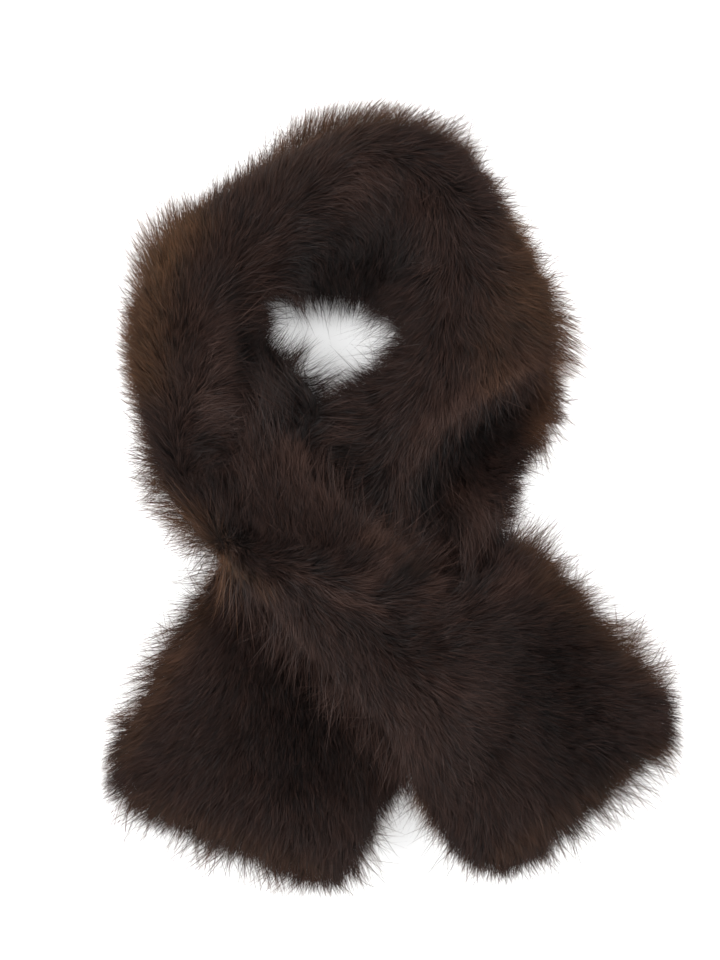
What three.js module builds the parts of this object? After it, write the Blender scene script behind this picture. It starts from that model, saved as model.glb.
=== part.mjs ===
// Fur collar wrap, laid flat: one long padded fur band that goes once round the neck opening.
// Its left side crosses over its right side, and both ends spread out below as wide tails.
// Two fur strips make the band, a face and a back, which meet at a seam along each rim.
// Millimetres. X runs to the right, Y to the back of the neck, Z up from the table.
import * as THREE from 'three';

// Sizes of the fur and of its solids
const TIP_REACH = 2; // how far the pile reaches past the dense edge of the fur
const SEAM_GAP = 0.3; // clearance between pieces that meet at a seam
const SEAM_SHARE = 0.42; // height of the rim seam, as a share of the band's height
const BACK_SHARE = 0.24; // thickness of the crushed back strip, as a share of the band's height
const OUTER_ROUND = 2.3; // how full the outer shoulder of the band is, 2 being an ellipse
const UNDERSIDE_ROUND = 4; // how square the underside turns up to the rims
const UNDERSIDE_FLAT = 1.15; // above 1, so that the middle of the underside lies truly flat
const THINNEST_FACE = 3; // what a fold leaves of the face strip

// Spacing of the points
const SECTION_STEP = 10;
const FACE_POINTS = 13; // on the face, between the rims
const SEAM_POINTS = 6; // between the two strips, and on the underside

// How softly the band drapes over the one below it
const DRAPE_REACH = 12;
const DRAPE_SPOKES = 6;
const DRAPE_CLEARANCE = 0.8;

// One row for each section, from the end of the upper tail round the neck to the end of the
// lower tail. outer and inner are the edges of its dense fur, crown is its own height, lean says
// how far across the highest line lies, and slope how full its inner shoulder is.
const SECTIONS = [
  { outer: [29, -216], inner: [164, -109], crown: 40, lean: 0.5, slope: 2.3 },
  { outer: [9, -185], inner: [128, -71], crown: 42, lean: 0.5, slope: 2.3 },
  { outer: [-6, -151], inner: [92, -32], crown: 40, lean: 0.48, slope: 2.2 },
  { outer: [-17, -135], inner: [72, -18], crown: 38, lean: 0.46, slope: 2.1 },
  { outer: [-31, -121], inner: [54, -34], crown: 36, lean: 0.46, slope: 2.1 },
  { outer: [-47, -106], inner: [34, -45], crown: 35, lean: 0.48, slope: 2.2 },
  { outer: [-79, -71], inner: [0, -26], crown: 35, lean: 0.5, slope: 2.3 },
  { outer: [-115, -39], inner: [-30, -3], crown: 37, lean: 0.5, slope: 2.2 },
  { outer: [-146, -1], inner: [-49, 21], crown: 41, lean: 0.46, slope: 2 },
  { outer: [-161, 42], inner: [-45, 58], crown: 44, lean: 0.42, slope: 1.8 },
  { outer: [-171, 80], inner: [-59, 84], crown: 46, lean: 0.42, slope: 1.8 },
  { outer: [-168, 122], inner: [-79, 108], crown: 47, lean: 0.46, slope: 1.9 },
  { outer: [-147, 165], inner: [-82, 126], crown: 48, lean: 0.5, slope: 1.8 },
  { outer: [-119, 189], inner: [-74, 127], crown: 50, lean: 0.48, slope: 1.6 },
  { outer: [-86, 212], inner: [-64, 124], crown: 52, lean: 0.44, slope: 1.4 },
  { outer: [-52, 231], inner: [-49, 122], crown: 54, lean: 0.42, slope: 1.25 },
  { outer: [-18, 242], inner: [-34, 123], crown: 55, lean: 0.42, slope: 1.2 },
  { outer: [16, 238], inner: [-20, 119], crown: 55, lean: 0.44, slope: 1.25 },
  { outer: [46, 221], inner: [-8, 116], crown: 54, lean: 0.5, slope: 1.5 },
  { outer: [69, 190], inner: [1, 112], crown: 52, lean: 0.56, slope: 1.8 },
  { outer: [99, 130], inner: [2, 101], crown: 50, lean: 0.6, slope: 2.2 },
  { outer: [105, 82], inner: [-20, 81], crown: 50, lean: 0.62, slope: 2.3 },
  { outer: [101, 55], inner: [-43, 66], crown: 49, lean: 0.62, slope: 2.3 },
  { outer: [82, 16], inner: [-66, 28], crown: 43, lean: 0.6, slope: 2.2 },
  { outer: [68, -28], inner: [-87, -6], crown: 33, lean: 0.55, slope: 2.2 },
  { outer: [47, -88], inner: [-116, -45], crown: 30, lean: 0.5, slope: 2.2 },
  { outer: [18, -159], inner: [-147, -97], crown: 34, lean: 0.5, slope: 2.2 },
  { outer: [-7, -200], inner: [-174, -148], crown: 36, lean: 0.5, slope: 2.2 },
];

// How each tail ends past its last section: how far each edge reaches and how round its corner is
const UPPER_END = { outerReach: 47, innerReach: 39, outerCorner: 38, innerCorner: 32 };
const LOWER_END = { outerReach: 54, innerReach: 43, outerCorner: 34, innerCorner: 38 };
const END_ANGLES = [16, 32, 47, 61, 73, 83];

// The stretches that show, by the sections that they run between. limb says which half of the
// band each belongs to, and the left half is draped over the right one.
const STRETCHES = [
  { name: 'upper_tail', from: 0, to: 7, start: UPPER_END, limb: 'left', colour: 0x33291f },
  { name: 'left_side', from: 7, to: 11, limb: 'left', colour: 0x40322a },
  { name: 'neck_back', from: 11, to: 20, limb: 'both', colour: 0x352a25 },
  { name: 'right_side', from: 20, to: 24.5, limb: 'right', colour: 0x3b2f28 },
  { name: 'lower_tail', from: 24.5, to: 27, finish: LOWER_END, limb: 'right', colour: 0x2f2622 },
];

// Lengthwise folds that show in the face, each along a line, raised or sunk by its height
const FOLDS = [
  {
    name: 'lip of the right side', limb: 'right', height: 6, width: 8,
    line: [[94, 91], [66, 72], [47, 56], [28, 41], [20, 22], [0, -6]],
  },
  {
    name: 'trough below the lip', limb: 'right', height: -25, width: 11,
    line: [[84, 62], [66, 50], [42, 28], [30, 0], [24, -22]],
  },
  {
    name: 'valley of the left side', limb: 'left', height: -17, width: 9,
    line: [[-89, 111], [-92, 94], [-88, 74], [-69, 55]],
  },
  {
    name: 'crease where the upper tail fans out', limb: 'left', height: -7, width: 8,
    line: [[30, -52], [22, -66], [4, -78]],
  },
];

const plan = (points) => points.map(([x, y]) => new THREE.Vector3(x, y, 0));
const outerEdge = new THREE.CatmullRomCurve3(plan(SECTIONS.map((row) => row.outer)));
const innerEdge = new THREE.CatmullRomCurve3(plan(SECTIONS.map((row) => row.inner)));
const forms = new THREE.CatmullRomCurve3(
  SECTIONS.map((row) => new THREE.Vector3(row.crown, row.lean, row.slope)),
);

// Places across the band, from its outer rim at 0 to its inner rim at 1, closer at the rims
function placesAcross(count) {
  return Array.from({ length: count }, (_, i) => 0.5 - 0.5 * Math.cos((Math.PI * (i + 1)) / (count + 1)));
}

function sectionAt(row, limb) {
  const u = row / (SECTIONS.length - 1);
  const outer = outerEdge.getPoint(u);
  const inner = innerEdge.getPoint(u);
  const form = forms.getPoint(u);
  const reach = inner.clone().sub(outer).setLength(TIP_REACH);
  outer.sub(reach);
  inner.add(reach);
  return { outer, inner, crown: form.x, lean: form.y, slope: form.z, flatness: 1, limb };
}

// The way that the band runs at a section, square to the line between its edges
function alongBand(section) {
  const across = section.inner.clone().sub(section.outer).normalize();
  return new THREE.Vector3(-across.y, across.x, 0);
}

function moved(section, offset) {
  return { ...section, outer: section.outer.clone().add(offset), inner: section.inner.clone().add(offset) };
}

// A tail's rounded end: each step goes on, draws its corners in and thins the band to its seam
function endSections(last, forward, end) {
  const across = last.inner.clone().sub(last.outer).normalize();
  return END_ANGLES.map((degrees) => {
    const angle = THREE.MathUtils.degToRad(degrees);
    const step = moved(last, new THREE.Vector3());
    step.outer.addScaledVector(forward, end.outerReach * Math.sin(angle));
    step.inner.addScaledVector(forward, end.innerReach * Math.sin(angle));
    step.outer.addScaledVector(across, end.outerCorner * (1 - Math.cos(angle)));
    step.inner.addScaledVector(across, -end.innerCorner * (1 - Math.cos(angle)));
    step.flatness = Math.cos(angle);
    return step;
  });
}

function distanceToLine(x, y, line) {
  let nearest = Infinity;
  for (let i = 1; i < line.length; i += 1) {
    const [ax, ay] = line[i - 1];
    const [bx, by] = line[i];
    const length2 = (bx - ax) ** 2 + (by - ay) ** 2;
    const t = THREE.MathUtils.clamp(((x - ax) * (bx - ax) + (y - ay) * (by - ay)) / length2, 0, 1);
    nearest = Math.min(nearest, Math.hypot(x - ax - t * (bx - ax), y - ay - t * (by - ay)));
  }
  return nearest;
}

function foldHeight(x, y, limb) {
  const folds = FOLDS.filter((fold) => limb === 'both' || fold.limb === limb);
  const heights = folds.map((fold) => {
    const off = distanceToLine(x, y, fold.line) / fold.width;
    return fold.height * Math.exp(-0.5 * off ** 2);
  });
  return heights.reduce((total, height) => total + height, 0);
}

const planPoint = (section, t) => section.outer.clone().lerp(section.inner, t);
const seamHeight = (section) => SEAM_SHARE * section.crown;

// Share of the height that the face has above the seam, 0 at both rims and 1 at the crown
function domeShare(section, t) {
  const { lean, slope } = section;
  if (t < lean) {
    return (1 - (1 - t / lean) ** OUTER_ROUND) ** (1 / OUTER_ROUND);
  }
  return (1 - ((t - lean) / (1 - lean)) ** slope) ** (1 / slope);
}

function undersideHeight(section, t) {
  const share = (1 - Math.abs(2 * t - 1) ** UNDERSIDE_ROUND) ** (1 / UNDERSIDE_ROUND);
  return seamHeight(section) * (1 - section.flatness * Math.min(1, UNDERSIDE_FLAT * share));
}

function plainFaceHeight(section, t) {
  const seam = seamHeight(section);
  return seam + section.flatness * (section.crown - seam) * domeShare(section, t);
}

// Where the two strips' backings lie on each other inside the band
function backingHeight(section, t) {
  const underside = undersideHeight(section, t);
  return underside + BACK_SHARE * (plainFaceHeight(section, t) - underside);
}

function faceHeight(section, t) {
  const plain = plainFaceHeight(section, t);
  const point = planPoint(section, t);
  const folded = plain + section.flatness * foldHeight(point.x, point.y, section.limb);
  const least = Math.min(plain, backingHeight(section, t) + THINNEST_FACE);
  return Math.max(folded, least);
}

// All the sections of a stretch, the rounded end of its tail with them
function stretchSections(stretch, gap) {
  const { from, to, limb } = stretch;
  const middle = (row) => planPoint(sectionAt(row, limb), 0.5);
  const halfway = middle((from + to) / 2);
  const length = middle(from).distanceTo(halfway) + halfway.distanceTo(middle(to));
  const steps = Math.ceil(length / SECTION_STEP);
  const rows = Array.from({ length: steps + 1 }, (_, i) => from + ((to - from) * i) / steps);
  const sections = rows.map((row) => sectionAt(row, limb));
  const first = sections[0];
  const last = sections[steps];
  if (stretch.start) {
    sections.unshift(...endSections(first, alongBand(first).negate(), stretch.start).reverse());
  } else {
    sections[0] = moved(first, alongBand(first).multiplyScalar(gap / 2));
  }
  if (stretch.finish) {
    sections.push(...endSections(last, alongBand(last), stretch.finish));
  } else {
    sections[sections.length - 1] = moved(last, alongBand(last).multiplyScalar(-gap / 2));
  }
  return sections;
}

// Height of the right side and lower tail under a point, 0 beside them
const rightLimb = STRETCHES.filter((stretch) => stretch.limb === 'right');
const lyingBelow = rightLimb.map((stretch) => stretchSections(stretch, 0));

function sideOf(section, x, y) {
  const along = alongBand(section);
  return (x - section.outer.x) * along.x + (y - section.outer.y) * along.y;
}

function heightBelow(x, y) {
  let height = 0;
  for (const sections of lyingBelow) {
    for (let i = 1; i < sections.length; i += 1) {
      const before = sideOf(sections[i - 1], x, y);
      const after = sideOf(sections[i], x, y);
      if (before >= 0 && after <= 0) {
        const share = before / Math.max(before - after, 1e-6);
        const outer = sections[i - 1].outer.clone().lerp(sections[i].outer, share);
        const inner = sections[i - 1].inner.clone().lerp(sections[i].inner, share);
        const across = inner.clone().sub(outer);
        const t = ((x - outer.x) * across.x + (y - outer.y) * across.y) / across.lengthSq();
        if (t > 0 && t < 1) {
          const [nearer, farther] = [faceHeight(sections[i - 1], t), faceHeight(sections[i], t)];
          height = Math.max(height, THREE.MathUtils.lerp(nearer, farther, share));
        }
      }
    }
  }
  return height;
}

// A small star of points round a place, itself among them
const DRAPE_STAR = [[0, 0]];
for (let ring = 1; ring <= 2; ring += 1) {
  for (let spoke = 0; spoke < DRAPE_SPOKES; spoke += 1) {
    const angle = (2 * Math.PI * (spoke + ring / 2)) / DRAPE_SPOKES;
    const radius = (ring / 2) * DRAPE_REACH;
    DRAPE_STAR.push([radius * Math.cos(angle), radius * Math.sin(angle)]);
  }
}

// The drape: the highest fur within reach of each point, averaged over the same reach
const highest = new Map();
function highestBelow(x, y) {
  const key = `${x.toFixed(1)} ${y.toFixed(1)}`;
  if (!highest.has(key)) {
    highest.set(key, Math.max(...DRAPE_STAR.map(([dx, dy]) => heightBelow(x + dx, y + dy))));
  }
  return highest.get(key);
}

function drapeHeight(x, y) {
  const sum = DRAPE_STAR.reduce((total, [dx, dy]) => total + highestBelow(x + dx, y + dy), 0);
  return sum > 0 ? sum / DRAPE_STAR.length + DRAPE_CLEARANCE : 0;
}

const FACE_PLACES = placesAcross(FACE_POINTS);
const SEAM_PLACES = placesAcross(SEAM_POINTS);

// A closed ring of points for one strip of the band at one section: the outer rim, the upper
// side, the inner rim and the lower side back
function stripRing(section, upper, upperPlaces, lower, lowerPlaces, rimShift) {
  const place = (t, z) => {
    const point = planPoint(section, t);
    point.z = z + (section.limb === 'left' ? drapeHeight(point.x, point.y) : 0);
    return point;
  };
  const rim = seamHeight(section) + rimShift;
  const ring = [place(0, rim), ...upperPlaces.map((t) => place(t, upper(section, t)))];
  ring.push(place(1, rim), ...[...lowerPlaces].reverse().map((t) => place(t, lower(section, t))));
  return ring;
}

function faceRing(section) {
  const lower = (at, t) => backingHeight(at, t) + SEAM_GAP / 2;
  return stripRing(section, faceHeight, FACE_PLACES, lower, SEAM_PLACES, SEAM_GAP / 2);
}

function backRing(section) {
  const upper = (at, t) => backingHeight(at, t) - SEAM_GAP / 2;
  return stripRing(section, upper, SEAM_PLACES, undersideHeight, SEAM_PLACES, -SEAM_GAP / 2);
}

// The triangles of a ring's flat end, zipped between its upper and its lower chain of points
function endTriangles(upperPlaces, lowerPlaces) {
  const innerRim = upperPlaces.length + 1;
  const upper = [0, ...upperPlaces.map((_, i) => i + 1), innerRim];
  const lower = [0, ...lowerPlaces.map((_, i) => innerRim + lowerPlaces.length - i), innerRim];
  const upperAt = [0, ...upperPlaces, 1];
  const lowerAt = [0, ...lowerPlaces, 1];
  const triangles = [];
  let i = 0;
  let j = 0;
  while (i + 1 < upper.length || j + 1 < lower.length) {
    const goUpper = j + 1 === lower.length || (i + 1 < upper.length && upperAt[i + 1] < lowerAt[j + 1]);
    const next = goUpper ? upper[i + 1] : lower[j + 1];
    const triangle = [upper[i], lower[j], next];
    if (new Set(triangle).size === 3) {
      triangles.push(triangle);
    }
    i += goUpper ? 1 : 0;
    j += goUpper ? 0 : 1;
  }
  return triangles;
}

function signedVolume(positions, indices) {
  const corner = (i) => new THREE.Vector3().fromArray(positions, 3 * indices[i]);
  let volume = 0;
  for (let i = 0; i < indices.length; i += 3) {
    volume += corner(i).dot(corner(i + 1).cross(corner(i + 2))) / 6;
  }
  return volume;
}

// A closed solid through rings of equal length, with a flat end on each side. The two strips'
// touching sides are split along the same diagonals, so that they stay parallel.
function solidThrough(rings, innerRim, ends) {
  const size = rings[0].length;
  const positions = rings.flat().flatMap((point) => point.toArray());
  const indices = [];
  for (let i = 1; i < rings.length; i += 1) {
    for (let j = 0; j < size; j += 1) {
      const a = (i - 1) * size + j;
      const b = (i - 1) * size + ((j + 1) % size);
      if (j < innerRim) {
        indices.push(a, b, b + size, a, b + size, a + size);
      } else {
        indices.push(a, b, a + size, b, b + size, a + size);
      }
    }
  }
  const lastRing = (rings.length - 1) * size;
  for (const [a, b, c] of ends) {
    indices.push(a, b, c, lastRing + a, lastRing + c, lastRing + b);
  }
  if (signedVolume(positions, indices) < 0) {
    indices.reverse();
  }
  const geometry = new THREE.BufferGeometry();
  geometry.setAttribute('position', new THREE.Float32BufferAttribute(positions, 3));
  geometry.setIndex(indices);
  geometry.computeVertexNormals();
  return geometry;
}

function furStrip(name, geometry, colour) {
  const fur = new THREE.MeshStandardMaterial({ color: colour, roughness: 0.8, metalness: 0 });
  const mesh = new THREE.Mesh(geometry, fur);
  mesh.name = name;
  return mesh;
}

const faceEnds = endTriangles(FACE_PLACES, SEAM_PLACES);
const backEnds = endTriangles(SEAM_PLACES, SEAM_PLACES);
const wrap = new THREE.Group();
for (const stretch of STRETCHES) {
  const sections = stretchSections(stretch, SEAM_GAP);
  const face = solidThrough(sections.map(faceRing), FACE_POINTS + 1, faceEnds);
  const back = solidThrough(sections.map(backRing), SEAM_POINTS + 1, backEnds);
  wrap.add(furStrip(`${stretch.name}_face`, face, stretch.colour));
  wrap.add(furStrip(`${stretch.name}_back`, back, stretch.colour));
}

// The origin lies on the table under the middle of the whole wrap
const box = new THREE.Box3().setFromObject(wrap);
const centre = box.getCenter(new THREE.Vector3());
wrap.children.forEach((piece) => piece.geometry.translate(-centre.x, -centre.y, -box.min.z));

export default wrap;
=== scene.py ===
# Fur collar wrap, laid flat: the fur and its backing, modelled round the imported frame.
# The wrap's lengths are millimetres until they go into Blender. The studio's are metres.
import math

import bpy
import numpy as np
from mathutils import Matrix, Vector
from mathutils.bvhtree import BVHTree
from mathutils.kdtree import KDTree


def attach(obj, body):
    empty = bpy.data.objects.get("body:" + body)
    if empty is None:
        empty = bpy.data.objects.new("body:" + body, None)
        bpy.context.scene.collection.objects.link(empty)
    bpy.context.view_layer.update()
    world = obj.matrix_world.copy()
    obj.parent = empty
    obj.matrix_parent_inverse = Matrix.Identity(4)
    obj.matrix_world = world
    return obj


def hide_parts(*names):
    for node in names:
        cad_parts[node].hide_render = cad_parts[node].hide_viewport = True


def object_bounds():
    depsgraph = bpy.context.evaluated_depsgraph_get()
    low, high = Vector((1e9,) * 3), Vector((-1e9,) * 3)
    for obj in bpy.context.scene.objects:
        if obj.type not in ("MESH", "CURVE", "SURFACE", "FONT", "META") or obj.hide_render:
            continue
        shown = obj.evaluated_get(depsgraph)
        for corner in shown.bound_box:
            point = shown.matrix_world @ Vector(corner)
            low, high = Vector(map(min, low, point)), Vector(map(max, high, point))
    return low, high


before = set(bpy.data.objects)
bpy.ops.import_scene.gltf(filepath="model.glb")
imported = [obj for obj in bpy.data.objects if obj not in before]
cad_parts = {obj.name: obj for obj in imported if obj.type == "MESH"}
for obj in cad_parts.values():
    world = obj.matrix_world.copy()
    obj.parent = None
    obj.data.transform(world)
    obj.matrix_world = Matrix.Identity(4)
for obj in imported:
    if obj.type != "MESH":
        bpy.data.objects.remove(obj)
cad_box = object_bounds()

MM = 0.001
SEED = 11

# The two limbs of the band. The left one lies over the right one, and they meet at the back of
# the neck, where each limb's mesh is cut at NECK_SPLIT.
LIMBS = {
    "left": ["upper_tail", "left_side"],
    "right": ["right_side", "lower_tail"],
}
NECK = "neck_back"
NECK_SPLIT = -30.0
OPENING = (-38, 98)  # middle of the neck opening, in plan

# Backing
VOXEL = 4.0
SMOOTH_ROUNDS = 5
LAST_SMOOTH_ROUNDS = 2
PILE_DEPTH = 11.5  # from the tips' mean surface down to the backing
PRESSED_DEPTH = 4.0  # the same where the wrap lies on the table
DEEPEST_SHARE = 0.3  # of the band's own thickness
LOWEST_BACKING = 3.0  # above the table
BACKING_THICK = 1.4
SEWN_WITHIN = 0.4  # gap that the seam between the two limbs' halves of the neck may close
COVER_REACH = 1.3 * PILE_DEPTH  # how far over a limb's backing the other one still hides it
OUTLINE_REACH = 22.0  # a rim with nothing this far out from it is on the outline
ABOVE_ALL = 200.0  # a height that nothing reaches

# Where something begins and where it is full
PRESSED_FACING = (-0.8, -0.2)  # height of the backing's normal, from a pressed pile to a full one
RIM_LEAN = (0.55, 0.95)  # lean of the backing, as its normal's length in plan, from top to rim
GLOW_LEAN = (0.45, 0.85)  # the same for the outline's painted golden glow, light through the hair tips
UNDER_FACING = (0.3, 0.8)  # how far the normal points down, for shorter and flatter hairs
THIN_FACING = (0.2, 0.7)  # the same for a thinner pile
OPENING_FACING = (-0.1, 0.5)  # how far a rim faces the neck opening, where no tips get the painted golden glow
OPENING_REACH = (70, 110)  # how far from the opening's middle they get the painted glow again
LEAST_RIM = 0.05  # below this share of a rim no tip gets the painted glow
AGREEMENT = (0.2, 0.95)  # how far the guides near a spot agree, from tangled hairs to combed ones

# Number and place of the hairs
STRANDS = 432000  # on both limbs, about
STRANDS_A_PIECE = 95000
UNDER_DENSITY = 0.2  # of the full pile's, underneath
HIDDEN_DENSITY = 0.05  # the same where the other limb covers it
FLOOR_CLEARANCE = 0.5
HAIRS_BEYOND = (10.0, 12.0, 8.0)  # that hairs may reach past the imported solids' box
RAGGED = 3.0  # how uneven the hairs are that end there
LEAST_KEPT = 0.1  # of such a hair's length

# Length and width of the hairs
HAIR_LENGTH = 22.0
RIM_LENGTH = 5.8
UNDER_LENGTH = 12.0
SHORTEST = 3.0
MEAN_LENGTH = 0.93  # of the length that its place gives a hair
LENGTH_SPREAD = 0.17  # from hair to hair, as a share
RIM_LENGTH_SPREAD = 0.11
LENGTH_LIMITS = (0.5, 1.25)
UPRIGHT_SHORTER = 0.2  # lost where the pile stands up
TANGLE_SHORTER = 0.25  # lost where the hairs are tangled
WIDTH = 0.24
WIDTH_SPREAD = 0.2  # from hair to hair, as a share
WIDTH_LIMITS = (0.5, 1.5)
WIDEST_AT = 0.5  # along the hair
RIM_WIDEST_AT = 0.3

# Guard hairs: long ones that stand out of the pile
GUARD_SHARE = 0.07
RIM_GUARD_SHARE = 0.28
GUARD_LENGTH = 1.22  # of the other hairs' length
RIM_GUARD_LENGTH = 7.7
GUARD_POWER = 0.35  # below 1, so that most of them are nearly that long
GUARD_WIDER = 0.25  # on the rims
GUARD_LOOSE = 0.8  # how little they are drawn into clumps
RIM_LOOSE = 0.7  # the same for all hairs on the rims

# Degrees that a hair rises from the backing at its root and at its tip: on top, and what is added
# on a rim, underneath and where the pile stands up
RISE = {
    "root": {"top": 52, "rim": 6, "under": -32, "upright": 18},
    "tip": {"top": 12, "rim": 30, "under": -8, "upright": 34},
}
RISE_SPREAD = 7
GUARD_RISE_SPREAD = 4  # more for a guard hair's tip
UPRIGHT_LIMITS = (-0.3, 1)  # of how far the pile stands up

# Waves over the fur: their length, the seed of their directions, and the degrees that they turn or
# raise a hair by, with those added where the hairs are tangled
SWIRLS = [
    {"wavelength": 38, "seed": 5, "degrees": 11, "tangled": 45},
    {"wavelength": 13, "seed": 6, "degrees": 10, "tangled": 55},
]
RISE_WAVES = {"wavelength": 24, "seed": 7, "degrees": 7}
TONE_WAVES = {"wavelength": 9, "seed": 8}
WAVES_ADDED = 7
WAVE_RANGE = (0.7, 1.4)  # of each wave's frequency
WAVE_HEIGHT = 2.6  # what their sum is divided by, so that it stays near 1

# How far single hairs stray
STRAY = {"degrees": 17, "guard": 6, "tangled": 45}  # from the combing, with what is added
ROOT_STRAY = 0.10  # added to a direction of length 1, as the next two are
TIP_STRAY = 0.15
RIM_DROOP = 0.25  # down, at the tips of the hairs on a rim
RIM_TURN = 0.5  # how far a hair on a rim turns outwards
BLADE_TWIST = 0.55  # how unevenly the blades face out of the backing
GUIDE_SOFTNESS = 60  # square millimetres, so that a guide close by isn't all that counts

# Clumps: strands in each, how far its leader draws the others in, and the share of that which
# brings the tips together and doesn't only turn the hairs
CLUMPS = [
    {"strands": 6, "pull": 0.2, "meeting": 0.6},
    {"strands": 60, "pull": 0.18, "meeting": 0.6},
    {"strands": 600, "pull": 0.12, "meeting": 0},
]
PULL_SPREAD = 0.3
PULL_LIMITS = (0.2, 1.6)
MIDDLE_PULL = 0.3  # of the tip's

# Lightness of a hair from 0 to 1: a tone that differs at random, with painted sheen and painted shade added
# from the pile's areas
TONE_AND_PAINTED_LIGHT = {"mean": 0.41, "spread": 0.2, "waves": 0.06, "guard": 0.2, "painted_sheen": 0.48, "painted_shade": 0.34}
GLOW_START = 0.5  # how far along its colours a hair on a rim with painted golden glow starts
RIM_GLOW = 0.75  # share of painted golden glow, light shining through the tips, in the colour of the hairs on the outline

# Colours, linear
BROWN = {
    "root": (0.0085, 0.0060, 0.0052),
    "middle": (0.0224, 0.0114, 0.0090),
    "tip": (0.0563, 0.0275, 0.0209),
}
# Painted glow: golden hair colours that stand for side light and backlight shining through the tips
GLOW_HAIR = {
    "root": (0.009, 0.0055, 0.0042),
    "middle": (0.048, 0.0205, 0.0105),
    "tip": (0.170, 0.075, 0.036),
}
BACKING_DARK = (0.003, 0.0022, 0.0020)
BACKING_LIGHT = (0.008, 0.0060, 0.0054)
# Multipliers of the hair colour by tone: the dark end also gives the painted shade, the light end the
# painted sheen
DARK_TONE_AND_SHADE = (0.20, 0.35, 0.45)
TONE_MIDDLE = (0.58, 0.60, 0.61)
LIGHT_TONE_AND_SHEEN = (0.92, 1, 1)
TABLE_GREY = (0.9, 0.9, 0.9)

# Soft boxes round the table
LIGHTS = [
    {"name": "left_box", "energy": 36, "size": (0.9, 0.7), "place": (-1.25, 0.25, 0.75)},
    {"name": "right_box", "energy": 34, "size": (0.9, 0.7), "place": (1.25, 0.30, 0.75)},
    {"name": "back_box", "energy": 12, "size": (1.4, 0.6), "place": (0, 1.35, 1.0)},
    {"name": "front_box", "energy": 18, "size": (1.4, 0.6), "place": (0, -1.40, 0.9)},
    {"name": "top_box", "energy": 6, "size": (1.2, 1.2), "place": (0, 0.1, 1.9)},
]
LIGHTS_AIM = (0, 0, 0.02)
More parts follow.
